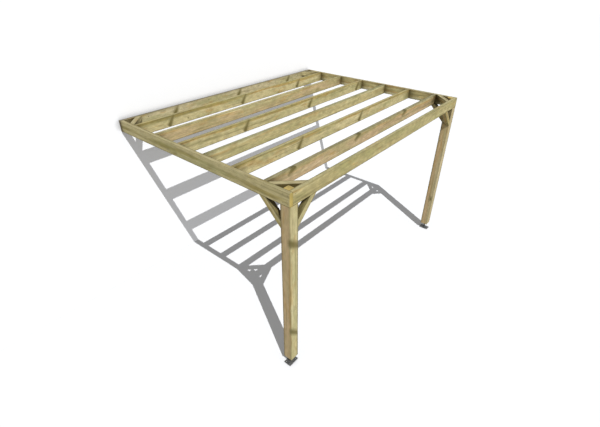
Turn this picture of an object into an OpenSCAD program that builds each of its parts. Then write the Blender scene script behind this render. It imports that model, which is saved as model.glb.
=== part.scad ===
// Wall-mounted pergola: a flat timber frame held by a wall plate at the back and
// by two notched posts at the front, with six rafters running along the wall.
// Millimetres. X runs along the wall to the right, +Y points into the wall, +Z is up.
// The origin lies on the wall face, at mid width and at mid height of the wall plate.

/* [Frame] */
// Overall width along the wall
frame_width = 4000; // [3000:10:5000]
// Overall depth, from the wall to the front face
frame_depth = 3000; // [2200:10:3600]
// Height of the frame's top above the ground
frame_height = 2466; // [2100:1:2800]

/* [Boards] */
// Height of the frame boards and the rafters
board_height = 150; // [120:1:200]
// Thickness of the frame boards and the rafters
board_thickness = 47; // [38:1:52]
// Clear gap between the front beam and the first rafter
front_gap = 281; // [250:1:400]
// Clear gap between the last rafter and the wall plate
wall_gap = 254; // [200:1:400]

/* [Posts] */
// Side of the square posts
post_side = 120; // [100:1:150]

/* [Braces] */
// Side of the square brace timber
brace_side = 66; // [45:1:80]
// Reach of a knee brace along the beam and down the post
knee_reach = 280; // [200:1:450]
// Clear distance between a corner brace's tip and the nearest rafter
corner_brace_clearance = 5; // [1:1:20]

/* [Post bases] */
// Long side of the base plate
base_plate_length = 150; // [130:1:200]
// Short side of the base plate
base_plate_width = 100; // [90:1:130]
// Thickness of the base plate and of the cap plate
base_plate_thickness = 6; // [4:1:10]
// Height of the post's end above the ground
base_raise = 106; // [60:1:200]
// Diameter of the stem between the two plates
stem_diameter = 24; // [20:1:40]
// Side of the square cap plate under the post
cap_side = 80; // [60:1:95]
// Diameter of the dowel that rises into the post
dowel_diameter = 16; // [12:1:18]
// Length of the dowel above the cap plate
dowel_length = 110; // [80:1:200]
// Clearance around the dowel and beyond its tip
dowel_clearance = 0.5; // [0.2:0.1:1]

/* [Fixing holes] */
// Diameter of the wall bolt holes
wall_hole_diameter = 12; // [8:1:16]
// Distance from the frame's side faces to the outer pairs of wall bolts
wall_bolt_inset = 400; // [360:10:500]
// Distance from mid width to the inner pairs of wall bolts
wall_bolt_inner = 550; // [300:10:900]
// Height between the two bolts of a pair
wall_bolt_rise = 80; // [60:1:90]
// Diameter of the anchor holes in the base plates
anchor_hole_diameter = 12; // [8:1:14]
// Distance from an anchor hole's centre to the plate's edges
anchor_inset = 20; // [15:1:25]

/* [Hidden] */
$fn = 48;

// Places of the frame
right_face = frame_width / 2;
left_face = -right_face;
front_face = -frame_depth;
frame_top = board_height / 2;
frame_underside = -board_height / 2;
ground = frame_top - frame_height;
left_inside = left_face + board_thickness;
right_inside = right_face - board_thickness;
front_inside = front_face + board_thickness;
wall_inside = -board_thickness;

// Rafters: equal spaces between the first, which keeps the front gap, and the last
RAFTERS = 6;
first_rafter = front_inside + front_gap + board_thickness / 2;
last_rafter = wall_inside - wall_gap - board_thickness / 2;
rafter_pitch = (last_rafter - first_rafter) / (RAFTERS - 1);

// The corner braces fill the outer gaps, but for their clearance
front_corner_reach = front_gap - corner_brace_clearance;
wall_corner_reach = wall_gap - corner_brace_clearance;

// Pairs of wall bolts, from mid width
wall_bolt_outer = right_face - wall_bolt_inset;

// Heights of the posts and their bases
post_foot = ground + base_raise;
stem_foot = ground + base_plate_thickness;
cap_underside = post_foot - base_plate_thickness;
post_centre = post_side / 2;
cut_margin = 1;

timber_colour = [0.66, 0.60, 0.42];
rafter_colour = [0.70, 0.63, 0.44];
brace_colour = [0.62, 0.58, 0.40];
metal_colour = [0.28, 0.29, 0.30];

// A box given by its lowest and highest corners.
module block(low, high) {
    translate(low) cube(high - low);
}

// A frame board with its plan rectangle given by two corners.
module board(low, high) {
    color(timber_colour)
        block([low[0], low[1], frame_underside], [high[0], high[1], frame_top]);
}

// A brace's outline: a 45 degree bar across a right angle, with both ends cut to
// lie flat on its legs.
module brace_outline(reach) {
    leg = brace_side * sqrt(2);
    polygon([[reach, 0], [0, reach], [0, reach - leg], [reach - leg, 0]]);
}

module wall_plate() {
    difference() {
        board([left_face, wall_inside], [right_inside, 0]);
        for (x = [-wall_bolt_outer, -wall_bolt_inner, wall_bolt_inner, wall_bolt_outer])
            for (z = [-wall_bolt_rise / 2, wall_bolt_rise / 2])
                translate([x, cut_margin, z])
                    rotate([90, 0, 0])
                        cylinder(h = board_thickness + 2 * cut_margin, d = wall_hole_diameter);
    }
}

// Each corner of the frame is lapped the same way round: one board runs past the
// next, which butts against it.
module left_beam() {
    board([left_face, front_face], [left_inside, wall_inside]);
}

module right_beam() {
    board([right_inside, front_inside], [right_face, 0]);
}

module front_beam() {
    board([left_inside, front_face], [right_face, front_inside]);
}

module rafter(number) {
    y = first_rafter + (number - 1) * rafter_pitch;
    color(rafter_colour)
        block(
            [left_inside, y - board_thickness / 2, frame_underside],
            [right_inside, y + board_thickness / 2, frame_top]
        );
}

// The left post: its two outer sides are cut back at the top, so that the boards
// sit on the shoulders and only the inner part of its end shows between them.
module post() {
    color(timber_colour)
        difference() {
            block(
                [left_face, front_face, post_foot],
                [left_face + post_side, front_face + post_side, frame_top]
            );
            block(
                [left_face - cut_margin, front_face - cut_margin, frame_underside],
                [left_inside, front_face + post_side + cut_margin, frame_top + cut_margin]
            );
            block(
                [left_face - cut_margin, front_face - cut_margin, frame_underside],
                [left_face + post_side + cut_margin, front_inside, frame_top + cut_margin]
            );
            translate([left_face + post_centre, front_face + post_centre, post_foot - cut_margin])
                cylinder(
                    h = dowel_length + dowel_clearance + cut_margin,
                    d = dowel_diameter + 2 * dowel_clearance
                );
        }
}

// The left post's knee brace under the side beam, flush with the outer faces.
module side_knee_brace() {
    color(brace_colour)
        translate([left_face + brace_side, front_face + post_side, frame_underside])
            rotate([-90, 0, 90])
                linear_extrude(brace_side)
                    brace_outline(knee_reach);
}

// The left post's knee brace under the front beam, flush with the outer faces.
module front_knee_brace() {
    color(brace_colour)
        translate([left_face + post_side, front_face, frame_underside])
            rotate([-90, 0, 0])
                linear_extrude(brace_side)
                    brace_outline(knee_reach);
}

// A level brace across the inside corner of two boards, flush with their tops. Turned
// by 0 degrees, its legs run from the corner along +X and +Y.
module corner_brace(corner, turn, reach) {
    color(brace_colour)
        translate([corner[0], corner[1], frame_top - brace_side])
            rotate([0, 0, turn])
                linear_extrude(brace_side)
                    brace_outline(reach);
}

// Everything under the left post is drawn about the post's axis at ground level.
module at_left_post() {
    translate([left_face + post_centre, front_face + post_centre, 0]) children();
}

module at_right_post() {
    translate([right_face - post_centre, front_face + post_centre, 0]) children();
}

// The base plate lies with its long side along X.
module base_plate() {
    hole_x = base_plate_length / 2 - anchor_inset;
    hole_y = base_plate_width / 2 - anchor_inset;
    color(metal_colour)
        translate([0, 0, ground])
            difference() {
                block(
                    [-base_plate_length / 2, -base_plate_width / 2, 0],
                    [base_plate_length / 2, base_plate_width / 2, base_plate_thickness]
                );
                for (x = [-hole_x, hole_x])
                    for (y = [-hole_y, hole_y])
                        translate([x, y, -cut_margin])
                            cylinder(
                                h = base_plate_thickness + 2 * cut_margin,
                                d = anchor_hole_diameter
                            );
            }
}

// The stem carries the cap plate on its shoulder and runs on as a dowel.
module base_stem() {
    color(metal_colour) {
        translate([0, 0, stem_foot])
            cylinder(h = cap_underside - stem_foot, d = stem_diameter);
        translate([0, 0, stem_foot])
            cylinder(h = post_foot + dowel_length - stem_foot, d = dowel_diameter);
    }
}

module base_cap() {
    color(metal_colour)
        difference() {
            block(
                [-cap_side / 2, -cap_side / 2, cap_underside],
                [cap_side / 2, cap_side / 2, post_foot]
            );
            translate([0, 0, cap_underside - cut_margin])
                cylinder(
                    h = base_plate_thickness + 2 * cut_margin,
                    d = dowel_diameter + 2 * dowel_clearance
                );
        }
}

wall_plate();
left_beam();
right_beam();
front_beam();
rafter(1);  // rafter_1
rafter(2);  // rafter_2
rafter(3);  // rafter_3
rafter(4);  // rafter_4
rafter(5);  // rafter_5
rafter(6);  // rafter_6
post();  // left_post
mirror([1, 0, 0]) post();  // right_post
side_knee_brace();  // left_side_knee_brace
front_knee_brace();  // left_front_knee_brace
mirror([1, 0, 0]) side_knee_brace();  // right_side_knee_brace
mirror([1, 0, 0]) front_knee_brace();  // right_front_knee_brace
corner_brace([left_inside, front_inside], 0, front_corner_reach);  // front_left_corner_brace
corner_brace([right_inside, front_inside], 90, front_corner_reach);  // front_right_corner_brace
corner_brace([left_inside, wall_inside], -90, wall_corner_reach);  // wall_left_corner_brace
corner_brace([right_inside, wall_inside], 180, wall_corner_reach);  // wall_right_corner_brace
at_left_post() base_plate();  // left_base_plate
at_left_post() base_stem();  // left_base_stem
at_left_post() base_cap();  // left_base_cap
at_right_post() rotate([0, 0, 90]) base_plate();  // right_base_plate
at_right_post() base_stem();  // right_base_stem
at_right_post() base_cap();  // right_base_cap
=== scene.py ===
"""Dresses a wall-mounted pergola in treated softwood and dark steel.

The frame's own timbers and base plates keep their places. Each gets eased arrises and
a finish that is worked out through its whole thickness: growth rings round a heart,
branches that cross it, fibres, drying checks and the tint of the treatment. Painted shade
darkens its corners, its butted ends and its upper faces. The screws' heads and the weld
beads are added as pieces of their own.
"""

import logging
import math
from dataclasses import dataclass
from enum import Enum
from functools import cached_property
from types import SimpleNamespace
from typing import Iterator, Sequence, Union

import bmesh
import bpy
from mathutils import Color, Matrix, Vector


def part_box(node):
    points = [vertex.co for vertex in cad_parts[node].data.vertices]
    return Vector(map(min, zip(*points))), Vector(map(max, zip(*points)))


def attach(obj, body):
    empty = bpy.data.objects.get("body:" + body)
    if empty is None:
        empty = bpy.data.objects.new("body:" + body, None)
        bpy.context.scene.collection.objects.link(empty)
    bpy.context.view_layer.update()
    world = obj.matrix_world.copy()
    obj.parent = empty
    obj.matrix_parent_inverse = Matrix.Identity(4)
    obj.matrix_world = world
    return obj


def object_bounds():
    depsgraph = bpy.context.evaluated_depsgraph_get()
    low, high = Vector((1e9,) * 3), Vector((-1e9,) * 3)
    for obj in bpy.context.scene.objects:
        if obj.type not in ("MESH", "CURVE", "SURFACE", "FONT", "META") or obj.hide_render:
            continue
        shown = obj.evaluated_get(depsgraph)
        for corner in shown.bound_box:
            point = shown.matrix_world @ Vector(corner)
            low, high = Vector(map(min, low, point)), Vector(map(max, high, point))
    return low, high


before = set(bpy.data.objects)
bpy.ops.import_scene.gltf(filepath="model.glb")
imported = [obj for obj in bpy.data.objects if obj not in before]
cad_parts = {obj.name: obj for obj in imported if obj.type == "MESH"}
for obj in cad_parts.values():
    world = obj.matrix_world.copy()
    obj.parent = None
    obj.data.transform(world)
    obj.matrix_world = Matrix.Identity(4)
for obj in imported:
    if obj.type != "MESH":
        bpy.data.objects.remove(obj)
cad_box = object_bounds()

BODY = "root"
RAFTERS = tuple(f"rafter_{number}" for number in range(1, 7))
MERGE = 0.00001
WHITE = (1.0, 1.0, 1.0, 1.0)
LOG = logging.getLogger("pergola")

Tree = bpy.types.NodeTree
Material = bpy.types.Material
Socket = bpy.types.NodeSocket
Sockets = bpy.types.bpy_prop_collection
Value = Union[Socket, float, Sequence[float]]
Point = tuple[float, float, float]


def tone(red: int, green: int, blue: int) -> tuple[float, float, float, float]:
    """Turns a colour as a screen shows it, 0 to 255, into the linear one that shaders take."""
    shown = Color((red / 255, green / 255, blue / 255))
    return (*shown.from_srgb_to_scene_linear(), 1.0)


class Kind(Enum):
    """The kinds of socket that the node groups have, named by Blender's types of socket."""

    VALUE = "NodeSocketFloat"
    VECTOR = "NodeSocketVector"
    RGBA = "NodeSocketColor"


class Graph:
    """Lays out the nodes of one material, world or node group."""

    def __init__(self, tree: Tree) -> None:
        """Takes the node tree to fill."""
        self.tree = tree

    @classmethod
    def of(cls, holder: Union[Material, bpy.types.World]) -> "Graph":
        """Takes the node tree of a material or a world, and empties it.

        Args:
            holder: the material or the world.

        Returns:
            The graph.
        """
        holder.use_nodes = True
        holder.node_tree.nodes.clear()
        return cls(holder.node_tree)

    def feed(self, socket: Socket, value: Value) -> None:
        """Gives an input what it reads.

        Args:
            socket: the input.
            value: the output that it is linked to, or a value of its own.
        """
        if isinstance(value, bpy.types.NodeSocket):
            self.tree.links.new(value, socket)
        else:
            socket.default_value = value

    def node(self, kind: str, *values: Value, **named: object) -> Sockets:
        """Adds a shader node.

        Args:
            kind: Blender's name of it, after ShaderNode.
            values: what its first inputs read, in their order.
            named: its settings, then what its other inputs read, with a capital first and
                underscores for the spaces in their names.

        Returns:
            Its outputs.
        """
        made = self.tree.nodes.new("ShaderNode" + kind)
        for name, value in named.items():
            if name[0].isupper():
                self.feed(made.inputs[name.replace("_", " ")], value)
            else:
                setattr(made, name, value)
        for socket, value in zip(made.inputs, values):
            self.feed(socket, value)
        return made.outputs

    def use(self, group: Tree, **values: Value) -> Sockets:
        """Places a node group with what its inputs read, and gives its outputs."""
        return self.node("Group", node_tree=group, **values)

    def give(self, **values: Socket) -> Tree:
        """Ends a node group with its outputs.

        Args:
            values: what each output gives.

        Returns:
            The finished group.
        """
        for word, value in values.items():
            add_socket(self.tree, word, "OUTPUT", Kind[value.type])
        leave = self.tree.nodes.new("NodeGroupOutput")
        for socket, value in zip(leave.inputs, values.values()):
            self.feed(socket, value)
        return self.tree

    def math(self, operation: str, *values: Value) -> Socket:
        """Adds a Math node and gives its result."""
        return self.node("Math", *values, operation=operation)[0]

    def times(self, first: Value, second: Value) -> Socket:
        """Multiplies two numbers."""
        return self.math("MULTIPLY", first, second)

    def vector(self, operation: str, *values: Value) -> Socket:
        """Adds a Vector Math node and gives its result, a number or a vector."""
        result = "Value" if operation in ("LENGTH", "DOT_PRODUCT") else "Vector"
        return self.node("VectorMath", *values, operation=operation)[result]

    def scaled(self, vector: Value, factor: Value) -> Socket:
        """Multiplies a vector or a colour by one number."""
        return self.node("VectorMath", vector, operation="SCALE", Scale=factor)["Vector"]

    def split(self, vector: Socket) -> tuple[Socket, Socket, Socket]:
        """Gives the three parts of a vector."""
        return tuple(self.node("SeparateXYZ", vector))

    def joined(self, x: Value, y: Value, z: Value) -> Socket:
        """Makes a vector of three numbers."""
        return self.node("CombineXYZ", x, y, z)[0]

    def local(self, vector: Socket, turn: Matrix, centre: Sequence[float] = (0, 0, 0)) -> Socket:
        """Reads a vector along turned axes, from a centre."""
        return self.node("Mapping", vector, centre, turn.to_euler(), vector_type="TEXTURE")[0]

    def step(self, value: Value, low: Value, high: Value, first: Value = 0.0,
             last: Value = 1.0) -> Socket:
        """Maps a range smoothly, from first at its low end to last at its high end."""
        return self.node("MapRange", value, low, high, first, last,
                         interpolation_type="SMOOTHSTEP")[0]

    def fade(self, value: Value, low: Value, high: Value, full: float = 1.0) -> Socket:
        """Maps a range smoothly, from full at its start down to nothing at its end."""
        return self.step(value, low, high, full, 0.0)

    def mix(self, factor: Value, under: Value, over: Value, blend: str = "MIX") -> Socket:
        """Mixes two colours.

        Args:
            factor: how much of the second shows.
            under: the first colour.
            over: the second colour.
            blend: Blender's name of the way they mix.

        Returns:
            The mixed colour.
        """
        made = self.tree.nodes.new("ShaderNodeMix")
        made.data_type = "RGBA"
        made.blend_type = blend
        for place, value in ((0, factor), (6, under), (7, over)):
            self.feed(made.inputs[place], value)
        return made.outputs[2]

    def noise(self, vector: Value, scale: float, detail: float = 2.0,
              roughness: float = 0.5) -> Socket:
        """Adds a noise texture, read at a place, and gives its number, about 0.5 on average."""
        return self.node("TexNoise", Vector=vector, Scale=scale, Detail=detail,
                         Roughness=roughness)[0]

    def streaks(self, place: Value, along: float, across: float, *layers: float) -> Socket:
        """Adds a noise drawn out along x, with the layers as its detail and roughness."""
        return self.noise(self.vector("MULTIPLY", place, (along, across, across)), 1.0, *layers)

    def waver(self, value: Value, noise: Socket, reach: float) -> Socket:
        """Makes a value waver with a noise, over a reach."""
        return self.math("MULTIPLY_ADD", self.math("SUBTRACT", noise, 0.5), reach, value)

    def hairlines(self, noise: Socket, width: float) -> Socket:
        """Marks the thin lines along which a noise crosses its middle."""
        return self.fade(self.math("ABSOLUTE", self.math("SUBTRACT", noise, 0.5)), 0.0, width)

    def openness(self, reach: float) -> Socket:
        """Reads how open the surface is within a reach, from 0 deep in a corner to 1."""
        return self.node("AmbientOcclusion", samples=8, Distance=reach)["AO"]

    def finish(self, colour: Socket, roughness: Socket, relief: Socket, strength: float,
               depth: float, **own: float) -> None:
        """Ends a material with a Principled shader over a fine relief.

        Args:
            colour: its base colour.
            roughness: its roughness.
            relief: the height of its relief.
            strength: how strongly the relief shows.
            depth: how deep the relief is, in metres.
            own: the shader's other inputs, each the same all over.
        """
        bump = self.node("Bump", Strength=strength, Distance=depth, Height=relief)[0]
        shader = self.node("BsdfPrincipled", Base_Color=colour, Roughness=roughness,
                           Normal=bump, **own)[0]
        self.node("OutputMaterial", shader)


def add_socket(tree: Tree, word: str, side: str, kind: Kind) -> None:
    """Adds a socket to a node group's inputs or outputs, with its name capitalised."""
    title = word.replace("_", " ").capitalize()
    tree.interface.new_socket(name=title, in_out=side, socket_type=kind.value)


def new_group(name: str, vectors: str, numbers: str, colours: str = ""
              ) -> tuple[Graph, SimpleNamespace]:
    """Starts a shader node group. Its inputs' names stand in strings, apart by spaces.

    Args:
        name: the group's name.
        vectors: its inputs that are vectors.
        numbers: its inputs that are numbers.
        colours: its inputs that are colours.

    Returns:
        The graph, and its inputs by name.
    """
    tree = bpy.data.node_groups.new(name, "ShaderNodeTree")
    kinds = ((Kind.VECTOR, vectors), (Kind.VALUE, numbers), (Kind.RGBA, colours))
    words = {word: kind for kind, names in kinds for word in names.split()}
    for word, kind in words.items():
        add_socket(tree, word, "INPUT", kind)
    given = tree.nodes.new("NodeGroupInput").outputs
    return Graph(tree), SimpleNamespace(**dict(zip(words, given)))


class TimberGroups:
    """The node groups that all timbers share, each built once. Lengths in metres.

    Each reads a place along the timber's own axes: x along the grain, y and z across it,
    from the timber's middle.
    """

    @staticmethod
    def _own_place(graph: Graph, given: SimpleNamespace, shift: Point) -> Socket:
        """Shifts the place by the timber's seed, so that no two timbers look the same."""
        return graph.vector("ADD", given.place, graph.scaled(shift, given.seed))

    @cached_property
    def branch(self) -> Tree:
        """A branch that crosses the timber, seen as a round or a spike knot.

        It adds its marks to those that it is given.

        Returns:
            Its node group.
        """
        graph, given = new_group("Branch", vectors="place root heading",
                                 numbers="length radius core halo swell")
        away = graph.vector("SUBTRACT", given.place, given.root)
        along = graph.vector("DOT_PRODUCT", away, given.heading)
        aside = graph.vector("SUBTRACT", away, graph.scaled(given.heading, along))
        ragged = graph.noise(given.place, 45.0, 3.0, 0.6)
        distance = graph.waver(graph.vector("LENGTH", aside), ragged, 0.014)
        reached = graph.math("DIVIDE", along, given.length)
        girth = graph.times(given.radius, graph.math("MULTIPLY_ADD", reached, 0.65, 0.55))
        share = graph.math("DIVIDE", distance, girth)
        past = graph.math("SUBTRACT", along, given.length)
        inside = graph.times(graph.step(along, -0.010, 0.006), graph.fade(past, -0.012, 0.008))
        inside = graph.times(inside, graph.step(reached, -0.2, 1.0, 0.45, 1.0))
        core = graph.times(graph.fade(share, 0.5, 1.25), inside)
        outer = graph.math("ADD", girth, 0.032)
        halo = graph.times(graph.fade(distance, girth, outer), inside)
        swell = graph.times(graph.fade(share, 0.4, 4.5, 0.016), inside)
        return graph.give(core=graph.math("MAXIMUM", core, given.core),
                          halo=graph.math("MAXIMUM", halo, given.halo),
                          swell=graph.math("ADD", swell, given.swell))

    @cached_property
    def pins(self) -> Tree:
        """Small round knots, scattered through the timber.

        Returns:
            Their node group.
        """
        graph, given = new_group("Pin knots", vectors="place", numbers="seed")
        gaps = (0.44, 0.075, 0.075)
        shifted = self._own_place(graph, given, (3.7, 1.9, 2.3))
        scatter = graph.node("TexVoronoi", graph.vector("DIVIDE", shifted, gaps),
                             feature="F1", Scale=1.0)
        nearest = graph.vector("MULTIPLY", scatter["Position"], gaps)
        distance = graph.vector("LENGTH", graph.vector("SUBTRACT", shifted, nearest))
        tinge = graph.split(scatter["Color"])[0]
        share = graph.math("DIVIDE", distance, graph.step(tinge, 0.35, 1.0, 0.0005, 0.0085))
        return graph.give(core=graph.fade(share, 0.7, 1.1, 0.9),
                          halo=graph.fade(share, 0.9, 3.0, 0.8),
                          swell=graph.fade(share, 0.6, 5.0, 0.007))

    @cached_property
    def rings(self) -> Tree:
        """Growth rings round a heart that wanders along the timber.

        Returns:
            Their node group.
        """
        graph, given = new_group("Growth rings", vectors="place heart drift",
                                 numbers="ring_width swell seed")
        heart = graph.vector("ADD", given.heart,
                             graph.scaled(given.drift, graph.split(given.place)[0]))
        shifted = self._own_place(graph, given, (5.1, 2.7, 3.3))
        wander = graph.node("TexNoise", graph.vector("MULTIPLY", shifted, (0.9, 3.0, 3.0)),
                            Scale=1.0)["Color"]
        sway = graph.scaled(graph.vector("SUBTRACT", wander, (0.5, 0.5, 0.5)), 0.075)
        offset = graph.vector("ADD", graph.vector("SUBTRACT", given.place, heart), sway)
        _, across, up = graph.split(offset)
        radius = graph.vector("LENGTH", graph.joined(0.0, across, up))
        radius = graph.waver(radius, graph.streaks(shifted, 2.5, 70.0), 0.004)
        radius = graph.math("ADD", radius, given.swell)
        year = graph.math("FRACT", graph.math("DIVIDE", radius, given.ring_width))
        late = graph.times(graph.step(year, 0.35, 0.88), graph.fade(year, 0.93, 1.0))
        return graph.give(late_wood=late, radius=radius,
                          turn=graph.math("ARCTAN2", up, across))

    @cached_property
    def figure(self) -> Tree:
        """The colour of a planed, treated face, from its rings, branches and tints.

        Returns:
            Its node group.
        """
        graph, given = new_group(
            "Timber figure", vectors="place",
            numbers="seed late_wood radius heartwood_radius core halo greenness ring_strength "
            "mottle", colours="sapwood heartwood streak green olive knot")
        shifted = self._own_place(graph, given, (2.3, 4.9, 1.7))
        edge = graph.math("SUBTRACT", given.radius, given.heartwood_radius)
        edge = graph.waver(edge, graph.streaks(shifted, 1.6, 22.0, 3.0, 0.6), 0.045)
        base = graph.mix(graph.step(edge, -0.012, 0.012), given.heartwood, given.sapwood)
        border = graph.times(graph.step(edge, -0.020, -0.002), graph.fade(edge, 0.002, 0.012))
        patchy = graph.step(graph.streaks(shifted, 0.9, 2.0), 0.38, 0.62, 0.0, 0.75)
        base = graph.mix(graph.times(border, patchy), base, given.streak)
        cloud = graph.step(graph.streaks(shifted, 1.9, 9.0, 3.0, 0.55), 0.44, 0.66)
        base = graph.mix(graph.times(cloud, given.greenness), base, given.green)
        warm = graph.streaks(shifted, 3.38, 16.9, 3.0, 0.6)
        base = graph.mix(graph.step(warm, 0.54, 0.74, 0.0, 0.7), base, given.streak)
        fibres = graph.streaks(shifted, 0.9, 30.0, 3.0, 0.6)
        base = graph.mix(graph.step(fibres, 0.54, 0.72, 0.0, 0.6), base, given.olive)
        base = graph.mix(graph.fade(fibres, 0.28, 0.46, 0.45), base, WHITE, "SOFT_LIGHT")
        mottle = graph.step(graph.streaks(shifted, 11.0, 24.0, 3.0, 0.6), 0.30, 0.70, -0.20, 0.16)
        base = graph.scaled(base, graph.math("MULTIPLY_ADD", mottle, given.mottle, 1.0))
        base = graph.mix(graph.times(given.late_wood, given.ring_strength), base, given.olive)
        fine = graph.streaks(shifted, 14.0, 420.0)
        base = graph.scaled(base, graph.step(fine, 0.25, 0.75, 0.86, 1.12))
        base = graph.mix(graph.times(given.halo, 0.6), base, given.olive)
        base = graph.mix(graph.times(given.core, 0.95), base, given.knot)
        relief = graph.math("MULTIPLY_ADD", given.late_wood, 0.45, graph.times(fine, 0.35))
        relief = graph.math("MULTIPLY_ADD", given.core, 0.5, relief)
        return graph.give(colour=base, relief=relief, fibre=fine)

    @cached_property
    def arris(self) -> Tree:
        """Grime along the long edges, heavier on one opposite pair of the four.

        Returns:
            Its node group.
        """
        graph, given = new_group("Arris", vectors="place half_size",
                                 numbers="reach heavy_pair")
        inward = graph.vector("SUBTRACT", given.half_size, graph.vector("ABSOLUTE", given.place))
        _, across, up = graph.split(inward)
        distance = graph.waver(graph.math("MAXIMUM", across, up),
                               graph.streaks(given.place, 9.0, 60.0), 0.006)
        near = graph.fade(distance, 0.0, given.reach)
        _, side, height = graph.split(given.place)
        pair = graph.times(graph.times(side, height), given.heavy_pair)
        return graph.give(grime=graph.times(near, graph.step(pair, -0.0003, 0.0003, 0.35, 0.85)))

    @cached_property
    def checks(self) -> Tree:
        """Fine drying checks, along the grain and outwards on the sawn ends.

        Returns:
            Their node group.
        """
        graph, given = new_group("Drying checks", vectors="place",
                                 numbers="seed radius turn end")
        shifted = self._own_place(graph, given, (1.3, 3.1, 4.7))
        line = graph.hairlines(graph.streaks(shifted, 1.8, 34.0, 1.0, 0.4), 0.006)
        along = graph.times(line, graph.step(graph.streaks(shifted, 2.1, 7.0), 0.60, 0.66))
        outward = graph.joined(given.turn, graph.times(given.radius, 0.6), given.seed)
        ray = graph.hairlines(graph.noise(outward, 3.0, 1.0, 0.4), 0.008)
        ray = graph.times(ray, graph.step(graph.streaks(shifted, 2.0, 22.0), 0.42, 0.52))
        return graph.give(split=graph.math(
            "ADD", graph.times(ray, given.end),
            graph.times(along, graph.math("SUBTRACT", 1.0, given.end))))


class Run(Enum):
    """How a timber lies: the way of its grain, and the way its local z axis points."""

    WALLWAYS = ((1, 0, 0), (0, 0, 1))
    OUTWARDS = ((0, 1, 0), (0, 0, 1))
    UPRIGHT = ((0, 0, 1), (-1, 0, 0))
    SIDE_KNEE = ((0, 1, 1), (0, -1, 1))
    FRONT_KNEE_RISING = ((1, 0, 1), (-1, 0, 1))
    FRONT_KNEE_FALLING = ((-1, 0, 1), (1, 0, 1))
    CORNER_RISING = ((1, 1, 0), (0, 0, 1))
    CORNER_FALLING = ((1, -1, 0), (0, 0, 1))

    def turn(self) -> Matrix:
        """Gives the rotation whose columns are the timber's own axes."""
        grain, up = (Vector(way).normalized() for way in self.value)
        return Matrix((grain, up.cross(grain), up)).transposed()


@dataclass(frozen=True)
class Branch:
    """A branch left in a timber, placed along the timber's own axes, in metres.

    Attributes:
        root: where it starts.
        heading: the way that it grows, of any length.
        length: how far it runs.
        radius: half its thickness.
    """

    root: Point
    heading: Point
    length: float
    radius: float

    FACE = -0.019
    LEAN = 0.66

    @classmethod
    def bar(cls, at: float, low: float, high: float) -> "Branch":
        """Makes a branch that starts just under a board's face, and thickens downwards.

        Args:
            at: where its middle is along the board.
            low: its lower end across the face.
            high: its upper end across the face.

        Returns:
            The branch, which shows as a slanting bar.
        """
        rise = high - low
        return cls((at + cls.LEAN * rise / 2, cls.FACE, high), (-cls.LEAN, 0.0, -1.0),
                   rise * math.hypot(1.0, cls.LEAN), 0.026)


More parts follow.
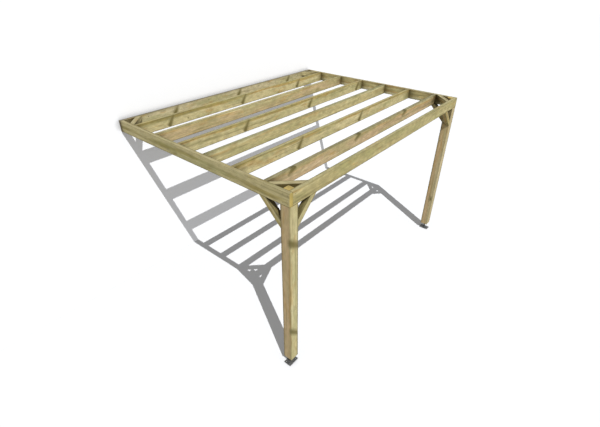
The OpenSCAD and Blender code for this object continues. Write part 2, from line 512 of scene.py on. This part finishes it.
@dataclass(frozen=True)
class TreatedPine:
    """Planed softwood with a green pressure treatment. Lengths in metres.

    Attributes:
        sapwood: its colour away from the heart.
        heartwood: its colour near the heart.
        streak: ochre streaks, and the rings round a knot.
        green: where the treatment shows most.
        olive: late wood and dark fibres.
        knot: the middle of a knot.
        grime: what has settled along the arrises.
        end_grain: its sawn ends.
        crack: the depth of a drying check.
        painted_shade: what painted shade leaves of each colour in the corners, by the wall and at
            butted ends.
        upper_face_shade: painted shade and a tint on the upper faces, against the sun's stronger
            light there.
        greenness: how much green shows, 0 to 1.
        mottle: how uneven its shade is, about 1 on knotty timber.
        ring_width: the width of a year's growth.
        ring_strength: how dark the late wood is, 0 to 1.
        corner_shade_reach: how far from a corner the painted shade reaches.
        wall_shade_reach: how far from the wall the painted shade reaches.
        end_shade_reach: how far along the grain the painted shade reaches from a butted end.
    """

    sapwood: tuple = tone(192, 180, 132)
    heartwood: tuple = tone(170, 154, 98)
    streak: tuple = tone(182, 146, 84)
    green: tuple = tone(162, 159, 108)
    olive: tuple = tone(122, 112, 68)
    knot: tuple = tone(106, 96, 50)
    grime: tuple = tone(104, 94, 56)
    end_grain: tuple = tone(208, 184, 104)
    crack: tuple = tone(58, 50, 32)
    # Painted shade: what each colour keeps in the corners, by the wall and at butted ends.
    painted_shade: tuple = (0.20, 0.172, 0.095, 1.0)
    # Painted shade and a tint on the upper faces.
    upper_face_shade: tuple = (0.68, 0.68, 0.72, 1.0)
    greenness: float = 0.6
    mottle: float = 0.9
    ring_width: float = 0.0052
    ring_strength: float = 0.28
    corner_shade_reach: float = 0.20
    wall_shade_reach: float = 0.055
    end_shade_reach: float = 0.15

    def dress(self, timber: "Timber", groups: TimberGroups) -> Material:
        """Makes the material of one timber.

        Args:
            timber: the timber, with its place, heart and branches.
            groups: the shared node groups.

        Returns:
            The material.
        """
        made = bpy.data.materials.new(f"treated_pine_{timber.node}")
        graph = Graph.of(made)
        reading = graph.node("TexCoord")
        centre, half, turn = timber.lie()
        place = graph.local(reading["Object"], turn, centre)
        facing = graph.split(graph.local(reading["Normal"], turn))[0]
        end = graph.step(graph.math("ABSOLUTE", facing), 0.45, 0.6)

        grown = graph.use(groups.pins, Place=place, Seed=timber.seed)
        for branch in timber.branches:
            grown = graph.use(
                groups.branch, Place=place, Root=branch.root, Length=branch.length,
                Heading=Vector(branch.heading).normalized(), Radius=branch.radius,
                Core=grown["Core"], Halo=grown["Halo"], Swell=grown["Swell"])
        rings = graph.use(
            groups.rings, Place=place, Heart=(0.0, *timber.heart), Drift=(0.0, *timber.drift),
            Ring_width=self.ring_width, Swell=grown["Swell"], Seed=timber.seed)
        figure = graph.use(
            groups.figure, Place=place, Seed=timber.seed, Late_wood=rings["Late wood"],
            Radius=rings["Radius"], Heartwood_radius=timber.heartwood, Core=grown["Core"],
            Halo=grown["Halo"], Sapwood=self.sapwood, Heartwood=self.heartwood,
            Streak=self.streak, Green=self.green, Olive=self.olive, Knot=self.knot,
            Greenness=self.greenness, Ring_strength=self.ring_strength, Mottle=self.mottle)
        soiled = graph.use(groups.arris, Place=place, Half_size=half, Reach=timber.soiled,
                           Heavy_pair=timber.heavy_pair)["Grime"]
        splits = graph.use(groups.checks, Place=place, Seed=timber.seed, Radius=rings["Radius"],
                           Turn=rings["Turn"], End=end)["Split"]

        sawn = graph.mix(graph.times(rings["Late wood"], 0.45), self.end_grain, self.streak)
        middle = graph.step(rings["Radius"], 0.025, 0.10, 0.0, 0.35)
        colour = graph.mix(end, figure["Colour"], graph.mix(middle, sawn, self.olive))
        colour = graph.mix(soiled, colour, self.grime)
        upward = graph.step(graph.split(reading["Normal"])[2], 0.75, 0.95)
        # Painted shade on the upper faces, against the sun's stronger light there, with a tint.
        colour = graph.mix(upward, colour, self.upper_face_shade, "MULTIPLY")
        colour = graph.mix(graph.times(splits, 0.8), colour, self.crack)
        # Painted shade: darker in corners and by the wall, where shade falls, and towards the
        # butted ends.
        along = graph.math("ABSOLUTE", graph.split(place)[0])
        shade_at_ends = graph.step(along, half.x - self.end_shade_reach, half.x, 0.0, timber.end_shade)
        shaded = graph.math("MAXIMUM", self._painted_shade_mask(graph, reading), shade_at_ends)
        colour = graph.mix(shaded, colour, self.painted_shade, "MULTIPLY")
        graph.finish(colour, graph.step(figure["Fibre"], 0.2, 0.8, 0.62, 0.82),
                     graph.math("MULTIPLY_ADD", splits, -1.5, figure["Relief"]),
                     strength=0.5, depth=0.0006, Specular_IOR_Level=0.3)
        return made

    def _painted_shade_mask(self, graph: Graph, reading: Sockets) -> Socket:
        """Finds where to paint shade: in the corners and by the wall.

        Args:
            graph: the material's graph.
            reading: its texture coordinates.

        Returns:
            How much painted shade the surface gets there, 0 to 1.
        """
        # Painted shade: reads how shut in the surface is, and how near the wall it lies.
        shut_in = graph.fade(graph.openness(self.corner_shade_reach), 0.40, 1.0)
        sideways, beside, _ = graph.split(graph.vector("ABSOLUTE", reading["Normal"]))
        reach = graph.math("MULTIPLY_ADD", sideways, -self.wall_shade_reach, -self.wall_shade_reach)
        by_wall = graph.step(graph.split(reading["Object"])[1], reach, 0.0)
        exposed = graph.fade(beside, 0.3, 0.7, 0.9)
        return graph.math("MAXIMUM", graph.math("POWER", shut_in, 0.65),
                          graph.times(by_wall, exposed))


@dataclass(frozen=True)
class Timber:
    """One timber of the frame. Lengths in metres.

    Attributes:
        node: its name in the frame.
        run: how it lies.
        seed: sets its figure apart from the others'.
        heart: where the tree's heart is, across and up from its middle.
        drift: how far the heart moves, across and up, for each metre along it.
        heartwood: the radius of the heartwood.
        branches: the branches that cross it.
        finish: what it is made of.
        end_shade: how much painted shade darkens it towards its ends, where it butts against
            others.
        soiled: how far the grime reaches from its arrises.
        heavy_pair: 1 or -1, for the opposite pair of arrises that has the most grime.
    """

    node: str
    run: Run
    seed: float
    heart: tuple[float, float]
    drift: tuple[float, float] = (0.0, 0.0)
    heartwood: float = 0.05
    branches: tuple[Branch, ...] = ()
    finish: TreatedPine = TreatedPine()
    end_shade: float = 0.0
    soiled: float = 0.015
    heavy_pair: float = 1.0

    def lie(self) -> tuple[Vector, Vector, Matrix]:
        """Measures the timber in the frame.

        Returns:
            Its middle, half its size along its own axes, and the turn of those axes.
        """
        turn = self.run.turn()
        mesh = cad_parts[self.node].data
        corners = [turn.inverted() @ vertex.co for vertex in mesh.vertices]
        low, high = (Vector(map(most, zip(*corners))) for most in (min, max))
        return turn @ ((low + high) / 2), (high - low) / 2, turn


def dress_node(node: str, material: Material, width: float, flats: int) -> None:
    """Gives a node of the frame its material, and rounds its arrises.

    Args:
        node: its name.
        material: what it is made of.
        width: how far the rounding reaches, in metres.
        flats: how many flats make it.
    """
    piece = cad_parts[node]
    piece.data.materials.clear()
    piece.data.materials.append(material)
    weld = piece.modifiers.new("merge_corners", "WELD")
    weld.merge_threshold = MERGE
    join = piece.modifiers.new("join_flats", "DECIMATE")
    join.decimate_type = "DISSOLVE"
    join.angle_limit = math.radians(0.5)
    ease = piece.modifiers.new("ease_arrises", "BEVEL")
    ease.width = width
    ease.segments = flats
    ease.limit_method = "ANGLE"
    ease.angle_limit = math.radians(30)
    LOG.info("dressed %s", node)


@dataclass(frozen=True)
class CoatedSteel:
    """Coated steel, satin and a little dusty.

    Attributes:
        name: the material's name.
        coat: the coating's colour.
        dust: what has settled on it.
        bare: where the coating has worn thin.
    """

    name: str = "dark_steel"
    coat: tuple = tone(60, 63, 66)
    dust: tuple = tone(98, 97, 92)
    bare: tuple = tone(90, 91, 91)

    def dress(self) -> Material:
        """Makes the material.

        Returns:
            The material.
        """
        made = bpy.data.materials.new(self.name)
        graph = Graph.of(made)
        reading = graph.node("TexCoord")
        cloud = graph.noise(reading["Object"], 22.0, 4.0, 0.6)
        fine = graph.noise(reading["Object"], 900.0)
        colour = graph.mix(graph.step(cloud, 0.35, 0.7, 0.0, 0.5), self.coat, self.bare)
        upward = graph.step(graph.split(reading["Normal"])[2], 0.6, 0.95)
        settled = graph.times(upward, graph.step(cloud, 0.3, 0.65, 0.15, 0.7))
        graph.finish(graph.mix(settled, colour, self.dust),
                     graph.step(cloud, 0.3, 0.7, 0.42, 0.6),
                     graph.math("MULTIPLY_ADD", cloud, 0.5, fine),
                     strength=0.4, depth=0.0003, Metallic=0.35)
        return made


def new_piece(name: str, shape: bmesh.types.BMesh) -> bpy.types.Object:
    """Makes an object of a shape, and frees the shape.

    Args:
        name: the object's name.
        shape: its shape.

    Returns:
        The object.
    """
    mesh = bpy.data.meshes.new(name)
    shape.to_mesh(mesh)
    shape.free()
    piece = bpy.data.objects.new(name, mesh)
    bpy.context.scene.collection.objects.link(piece)
    return piece


@dataclass(frozen=True)
class Screws:
    """The countersunk screws that hold the frame together. Lengths in metres.

    Attributes:
        head: the radius of a screw's head.
        taper: the radius of the head's underside, as a share of its own.
        hole: the radius of the hole that the head is sunk in.
        depth: how deep the hole is.
        sunk: how far below the timber's face the head lies.
        thickness: the height of the head's rim.
        drive: the mean radius of the star that the bit fits.
        lobe: how far the lobes stand in and out.
        lobes: how many there are.
        facets: how many flats make a head round.
        twist: how far each head is turned from the last, in radians.
        rise: how far above and below a board's middle its screws are.
        from_tip: how far from a brace's tip its screws are.
        beside: how far to each side of a brace's middle they are.
        finish: what they are made of.
    """

    head: float = 0.0050
    taper: float = 0.6
    hole: float = 0.0055
    depth: float = 0.0012
    sunk: float = 0.0006
    thickness: float = 0.0030
    drive: float = 0.0022
    lobe: float = 0.0004
    lobes: int = 6
    facets: int = 24
    twist: float = 2.4
    rise: float = 0.045
    from_tip: float = 0.035
    beside: float = 0.016
    finish: CoatedSteel = CoatedSteel(
        "screw_coat", tone(150, 140, 102), tone(158, 148, 112), tone(140, 133, 108))

    THROUGH = {
        "left_beam": ((-1, 0, 0), (*RAFTERS, "left_post", "front_beam")),
        "right_beam": ((1, 0, 0), (*RAFTERS, "right_post", "wall_plate")),
        "front_beam": ((0, -1, 0), ("left_post", "right_post", "right_beam")),
        "wall_plate": ((0, 1, 0), ("left_beam",)),
    }

    def add(self, braces: Sequence[Timber]) -> None:
        """Drills the timbers and adds all the heads as one piece.

        Args:
            braces: the braces that are screwed to the frame.
        """
        places = [place for board in self.THROUGH for place in self._along_board(board)]
        places += [place for brace in braces for place in self._along_brace(brace)]
        head = self._head()
        heads, holes = bmesh.new(), bmesh.new()
        for number, place in enumerate(places):
            count = len(heads.verts)
            heads.from_mesh(head)
            heads.verts.ensure_lookup_table()
            bmesh.ops.transform(heads, verts=heads.verts[count:],
                                matrix=place @ Matrix.Rotation(number * self.twist, 4, "Z"))
            bmesh.ops.create_cone(
                holes, cap_ends=True, segments=self.facets, radius1=self.hole,
                radius2=self.hole, depth=2 * self.depth, matrix=place)
        piece = new_piece("screw_heads", heads)
        piece.data.materials.append(self.finish.dress())
        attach(piece, BODY)
        drill = new_piece("screw_holes", holes)
        drill.hide_render = True
        drill.hide_viewport = True
        for node in (*self.THROUGH, *(brace.node for brace in braces)):
            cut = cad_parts[node].modifiers.new("screw_holes", "BOOLEAN")
            cut.operation = "DIFFERENCE"
            cut.solver = "EXACT"
            cut.object = drill
        LOG.info("added %d screw heads", len(places))

    def _along_board(self, board: str) -> Iterator[Matrix]:
        """Finds the pairs of screws that go through a board into others.

        Args:
            board: the name of the board that they go through.

        Yields:
            The place of each head, with z pointing out of the timber.
        """
        outward, held = self.THROUGH[board]
        low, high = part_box(board)
        middle = (low + high) / 2
        out = Vector(outward)
        reach = (high - low).dot(Vector(map(abs, outward))) / 2
        for node in held:
            near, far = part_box(node)
            target = (near + far) / 2
            inward = middle - target
            inward -= out * inward.dot(out)
            inward.z = 0.0
            if node.endswith("post"):
                target += inward.normalized() * reach
            point = target + out * ((middle - target).dot(out) + reach)
            for side in (-1, 1):
                yield self._facing(Vector((point.x, point.y, side * self.rise)), out)

    def _along_brace(self, brace: Timber) -> Iterator[Matrix]:
        """Finds the two pairs of screws that hold a brace, near its tips.

        Args:
            brace: the brace.

        Yields:
            The place of each head, with z pointing out of the timber.
        """
        low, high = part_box(brace.node)
        face = (low + high) / 2
        middle, half, turn = brace.lie()
        out = (face - middle).normalized()
        grain = turn.col[0]
        aside = grain.cross(out)
        for tip in (-1, 1):
            for side in (-1, 1):
                yield self._facing(face + grain * (tip * (half.x - self.from_tip))
                                   + aside * (side * self.beside), out)

    @staticmethod
    def _facing(point: Vector, out: Vector) -> Matrix:
        """Gives the place of a head that looks a certain way."""
        return Matrix.Translation(point) @ out.to_track_quat("Z", "Y").to_matrix().to_4x4()

    def _head(self) -> bpy.types.Mesh:
        """Makes one head, with a star sunk in its face.

        Returns:
            Its mesh, in a timber whose face is at z = 0.
        """
        shape = bmesh.new()
        bmesh.ops.create_cone(
            shape, cap_ends=True, segments=self.facets, radius1=self.head * self.taper,
            radius2=self.head, depth=self.thickness,
            matrix=Matrix.Translation((0, 0, -self.sunk - self.thickness / 2)))
        top = max(shape.faces, key=lambda face: face.calc_center_median().z)
        bmesh.ops.inset_region(shape, faces=[top], thickness=self.head - self.drive)
        for vert in top.verts:
            angle = math.atan2(vert.co.y, vert.co.x)
            stretch = 1 + self.lobe / self.drive * math.cos(self.lobes * angle)
            vert.co.x *= stretch
            vert.co.y *= stretch
        pushed = bmesh.ops.extrude_discrete_faces(shape, faces=[top])["faces"]
        bmesh.ops.translate(shape, verts=pushed[0].verts, vec=(0, 0, -self.thickness / 2))
        mesh = bpy.data.meshes.new("screw_head")
        shape.to_mesh(mesh)
        shape.free()
        return mesh


@dataclass(frozen=True)
class TimberFrame:
    """The boards, rafters, posts and braces of the pergola, and their screws.

    Attributes:
        arris: how far the rounding of an arris reaches, in metres.
        flats: how many flats make it.
        screws: the screws that hold the timbers together.
    """

    arris: float = 0.0025
    flats: int = 3
    screws: Screws = Screws()

    def dress(self) -> None:
        """Gives each timber its eased arrises and its own figure, and adds the screws."""
        groups = TimberGroups()
        for timber in (*self.boards, *self.posts, *self.rafters, *self.braces):
            material = timber.finish.dress(timber, groups)
            dress_node(timber.node, material, self.arris, self.flats)
        self.screws.add(self.braces)

    @property
    def boards(self) -> list[Timber]:
        """The boards that go round the frame.

        Returns:
            Each with its own finish.
        """
        grey = TreatedPine(sapwood=tone(196, 184, 146), heartwood=tone(192, 170, 136),
                           end_grain=tone(150, 140, 108))
        streaky = TreatedPine(heartwood=tone(140, 131, 74), streak=tone(152, 136, 78), mottle=0.6)
        bright = TreatedPine(sapwood=tone(216, 206, 162), heartwood=tone(198, 184, 128),
                             green=tone(180, 178, 134))
        olive = TreatedPine(sapwood=tone(185, 172, 121), heartwood=tone(176, 158, 98),
                            green=tone(156, 154, 98), upper_face_shade=(0.75, 0.78, 0.86, 1.0), greenness=0.5)
        bars = tuple(Branch.bar(at, -0.03, 0.08) for at in (-1.12, 0.117, 1.341))
        return [
            Timber("wall_plate", Run.WALLWAYS, 1.0, (-0.03, -0.12), (0.0, 0.01), 0.07, bars, grey),
            Timber("left_beam", Run.OUTWARDS, 2.0, (0.048, 0.003), (-0.005, 0.0047), 0.028,
                   finish=streaky, heavy_pair=-1.0),
            Timber("right_beam", Run.OUTWARDS, 3.0, (0.04, 0.02), (0.0, 0.01), finish=bright,
                   heavy_pair=-1.0),
            Timber("front_beam", Run.WALLWAYS, 4.0, (0.06, -0.19), (0.0, 0.008), 0.10,
                   finish=olive),
        ]

    @property
    def posts(self) -> list[Timber]:
        """The two posts.

        Returns:
            The left one and the right one.
        """
        pale = TreatedPine(sapwood=tone(206, 195, 146), heartwood=tone(196, 171, 130),
                           greenness=0.35, mottle=0.5)
        rosy = TreatedPine(sapwood=tone(198, 182, 142), heartwood=tone(194, 168, 128),
                           greenness=0.25, mottle=0.4)
        upper = Branch((0.488, -0.063, -0.120), (0.71, -0.11, 1.0), 0.252, 0.039)
        lower = Branch((-0.841, -0.063, -0.120), (1.02, -0.11, 1.0), 0.294, 0.033)
        low = Branch((-0.702, -0.03, 0.033), (1.0, 0.0, 0.45), 0.13, 0.016)
        return [
            Timber("left_post", Run.UPRIGHT, 11.0, (0.03, 0.055), heartwood=0.079,
                   branches=(upper, lower), finish=pale, soiled=0.026),
            Timber("right_post", Run.UPRIGHT, 12.0, (0.0235, 0.0235), heartwood=0.045,
                   branches=(low,), finish=rosy, soiled=0.022),
        ]

    @property
    def rafters(self) -> list[Timber]:
        """The rafters: a knotty one after each plainer one.

        Returns:
            Each, from the front to the wall.
        """
        knotty = TreatedPine(sapwood=tone(204, 191, 142), heartwood=tone(166, 150, 88),
                             upper_face_shade=(0.93, 0.97, 1.28, 1.0))
        pinkish = TreatedPine(sapwood=tone(198, 184, 138), heartwood=tone(200, 175, 136),
                              upper_face_shade=(0.48, 0.50, 0.51, 1.0))
        greenish = TreatedPine(sapwood=tone(197, 189, 142), heartwood=tone(193, 180, 130),
                               streak=tone(188, 160, 104), upper_face_shade=(0.49, 0.51, 0.48, 1.0),
                               greenness=0.5)
        tan = TreatedPine(sapwood=tone(196, 184, 136), heartwood=tone(197, 175, 132),
                          upper_face_shade=(0.74, 0.74, 0.76, 1.0), greenness=0.5)
        bars = {
            1: [Branch((at, Branch.FACE, 0.010), (1.4, 0.0, 1.0), 0.140, 0.031)
                for at in (-1.650, -0.425, 0.795)],
            2: [Branch.bar(at, -0.064, 0.085) for at in (-0.893, 0.443)],
            4: [Branch.bar(at, -0.064, 0.085) for at in (-0.900, 0.456, 1.800)],
            6: [Branch.bar(at, -0.064, 0.075) for at in (-1.440, -0.090, 1.250)],
        }
        plainer = {1: pinkish, 3: greenish, 5: tan}
        heart_above = ((0.0, 0.10), (0.0, 0.004), 0.058)
        heart_within = ((0.02, -0.03), (0.0, 0.0), 0.09)
        # Painted shade darkens each rafter towards its ends, where it meets the beams.
        return [
            Timber(node, Run.WALLWAYS, 20.0 + number,
                   *(heart_within if number in plainer else heart_above),
                   tuple(bars.get(number, ())), plainer.get(number, knotty), end_shade=0.4)
            for number, node in enumerate(RAFTERS, 1)]

    @property
    def braces(self) -> list[Timber]:
        """The knee braces and the corner braces.

        Returns:
            All eight, in one finish.
        """
        runs = {
            "left_side_knee_brace": Run.SIDE_KNEE,
            "right_side_knee_brace": Run.SIDE_KNEE,
            "left_front_knee_brace": Run.FRONT_KNEE_RISING,
            "right_front_knee_brace": Run.FRONT_KNEE_FALLING,
            "front_left_corner_brace": Run.CORNER_FALLING,
            "front_right_corner_brace": Run.CORNER_RISING,
            "wall_left_corner_brace": Run.CORNER_RISING,
            "wall_right_corner_brace": Run.CORNER_FALLING,
        }
        return [Timber(node, run, 40.0 + number, (0.03, -0.05))
                for number, (node, run) in enumerate(runs.items())]


@dataclass(frozen=True)
class PostBases:
    """The two welded steel bases that lift the posts off the ground. Lengths in metres.

    Attributes:
        steel: what they are made of.
        edge: how far the rounding of their edges reaches.
        flats: how many flats make it.
        leg: how far a weld bead reaches out and along the stem.
        overlap: how far it runs into what it joins.
        steps: how many steps take it round the stem.
    """

    steel: CoatedSteel = CoatedSteel()
    edge: float = 0.0008
    flats: int = 2
    leg: float = 0.004
    overlap: float = 0.0004
    steps: int = 48

    BEAD = ((0.0, 0.0), (1.0, 0.0), (0.85, 0.35), (0.35, 0.85), (0.0, 1.0))

    def dress(self) -> None:
        """Gives the plates, stems and caps their finish, eased edges and weld beads."""
        material = self.steel.dress()
        for side in ("left", "right"):
            for part in ("plate", "stem", "cap"):
                dress_node(f"{side}_base_{part}", material, self.edge, self.flats)
            self._weld(side, material)

    def _weld(self, side: str, material: Material) -> None:
        """Runs a bead round both ends of a stem, where it meets the plate and the cap.

        Args:
            side: the post's side, left or right.
            material: what the bead is made of.
        """
        low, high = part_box(f"{side}_base_stem")
        axis = (low + high) / 2
        radius = (high.x - low.x) / 2 - self.overlap
        size = self.leg + self.overlap
        plate_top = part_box(f"{side}_base_plate")[1].z
        cap_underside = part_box(f"{side}_base_cap")[0].z
        shape = bmesh.new()
        for height, way in ((plate_top, 1), (cap_underside, -1)):
            root = Vector((axis.x + radius, axis.y, height - way * self.overlap))
            outline = [shape.verts.new(root + Vector((out * size, 0.0, way * up * size)))
                       for out, up in self.BEAD]
            sides = [shape.edges.new(ends) for ends in zip(outline, outline[1:] + outline[:1])]
            bmesh.ops.spin(shape, geom=outline + sides, cent=(axis.x, axis.y, 0.0),
                           axis=(0, 0, 1), angle=math.tau, steps=self.steps, use_merge=True)
        bmesh.ops.remove_doubles(shape, verts=shape.verts, dist=MERGE)
        bmesh.ops.recalc_face_normals(shape, faces=shape.faces)
        for face in shape.faces:
            face.smooth = True
        beads = new_piece(f"{side}_base_weld_beads", shape)
        beads.data.materials.append(material)
        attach(beads, BODY)
        LOG.info("added %s", beads.name)


@dataclass(frozen=True)
class Studio:
    """The plain white stage, the light and the camera. Lengths in metres, angles in degrees.

    Attributes:
        eye: where the camera stands.
        heading: which way it looks, from +X towards +Y.
        tilt: how far it looks down.
        roll: how far it is turned about its own axis.
        lens: its focal length in millimetres, on a sensor 36 wide.
        sunward: the way that the sun's light travels.
        sun: the sun's strength.
        sun_width: how wide the sun looks.
        fill: the strength of the even light from all sides.
        spread: how far the stage reaches.
        clearance: the gap that keeps the floor off the object.
        packing: the gap between the wall plate and the backdrop, as packers leave it.
        halo: how near the object the stage gets painted shade.
        deepest_painted_shade: what the painted shade leaves of the stage's shade, next to the
            object.
        floor_shade: how much light the floor returns, 0 to 1.
        backdrop_shade: how much light the backdrop returns, 0 to 1.
        lift: what the backdrop adds to itself, to stay white.
        cool: the stage's tint, which evens out the warm light from the timber.
    """

    eye: Point = (-4.2114, -4.9660, 1.7778)
    heading: float = 39.812
    tilt: float = 32.833
    roll: float = 0.326
    lens: float = 22.844
    sunward: Point = (0.2759, 0.5152, -0.8114)
    sun: float = 3.80
    sun_width: float = 0.25
    fill: float = 0.37
    spread: float = 300.0
    clearance: float = 0.001
    packing: float = 0.022
    halo: float = 0.12
    deepest_painted_shade: float = 0.6
    floor_shade: float = 0.76
    backdrop_shade: float = 1.0
    lift: float = 0.065
    cool: Point = (0.985, 0.995, 1.02)

    def set_camera(self) -> None:
        """Places the camera."""
        lens = bpy.data.cameras.new("camera")
        lens.lens = self.lens
        camera = bpy.data.objects.new("camera", lens)
        bpy.context.scene.collection.objects.link(camera)
        turn = (Matrix.Rotation(math.radians(self.heading - 90), 4, "Z")
                @ Matrix.Rotation(math.radians(90 - self.tilt), 4, "X")
                @ Matrix.Rotation(math.radians(self.roll), 4, "Z"))
        camera.matrix_world = Matrix.Translation(self.eye) @ turn
        bpy.context.scene.camera = camera

    def set_light(self) -> None:
        """Places the sun and fills the rest with an even light."""
        lamp = bpy.data.lights.new("sun", "SUN")
        lamp.energy = self.sun
        lamp.angle = math.radians(self.sun_width)
        sun = bpy.data.objects.new("sun", lamp)
        bpy.context.scene.collection.objects.link(sun)
        sun.rotation_euler = Vector(self.sunward).to_track_quat("-Z", "Y").to_euler()
        world = bpy.data.worlds.new("even_light")
        bpy.context.scene.world = world
        graph = Graph.of(world)
        path = graph.node("LightPath")
        mirrored = graph.math("MAXIMUM", path["Is Glossy Ray"], path["Is Transmission Ray"])
        seen = graph.math("MAXIMUM", path["Is Camera Ray"], mirrored)
        strength = graph.step(seen, 0.0, 1.0, self.fill, 1.0)
        graph.node("OutputWorld", graph.node("Background", WHITE, strength)[0])

    def set_stage(self) -> None:
        """Lays the floor, and stands a backdrop where the wall plate is fixed."""
        ground = cad_box[0].z - self.clearance
        self._sheet("floor", Matrix.Translation((0, 0, ground)), self.floor_shade, False)
        place = Matrix.Translation((0, self.packing, ground + self.spread))
        upright = Matrix.Rotation(math.radians(90), 4, "X")
        self._sheet("backdrop", place @ upright, self.backdrop_shade, True)

    def _sheet(self, name: str, place: Matrix, shade: float, one_sided: bool) -> None:
        """Adds one flat sheet of the stage.

        Args:
            name: its name.
            place: where it lies and how it is turned.
            shade: how much light it returns, 0 to 1.
            one_sided: whether it adds to its own light and can't be seen from behind.
        """
        shape = bmesh.new()
        bmesh.ops.create_grid(shape, x_segments=1, y_segments=1, size=self.spread)
        bmesh.ops.transform(shape, matrix=place, verts=shape.verts)
        sheet = new_piece(name, shape)
        material = bpy.data.materials.new(name)
        graph = Graph.of(material)
        # Painted shade: the sheet darkens near the object, within the halo.
        grey = graph.step(graph.openness(self.halo), 0.45, 0.92, shade * self.deepest_painted_shade, shade)
        surface = graph.node("BsdfDiffuse", graph.scaled(self.cool, grey))[0]
        if one_sided:
            surface = self._one_way(graph, surface)
        graph.node("OutputMaterial", surface)
        sheet.data.materials.append(material)
        sheet.visible_diffuse = False
        sheet.visible_shadow = False

    def _one_way(self, graph: Graph, surface: Socket) -> Socket:
        """Lifts a surface in the camera's eye, and clears it from behind.

        Args:
            graph: the material's graph.
            surface: its plain surface.

        Returns:
            The surface as it is seen.
        """
        strength = graph.times(graph.node("LightPath")["Is Camera Ray"], self.lift)
        glow = graph.node("Emission", (*self.cool, 1.0), strength)[0]
        lifted = graph.node("AddShader", surface, glow)[0]
        behind = graph.node("NewGeometry")["Backfacing"]
        return graph.node("MixShader", behind, lifted, graph.node("BsdfTransparent")[0])[0]


def main() -> None:
    """Builds the stage and dresses the pergola, piece by piece."""
    logging.basicConfig(level=logging.INFO, format="%(name)s: %(message)s")
    bpy.context.scene.view_settings.view_transform = "Standard"
    studio = Studio()
    studio.set_camera()
    studio.set_light()
    studio.set_stage()
    TimberFrame().dress()
    PostBases().dress()


if __name__ == "__main__":
    main()
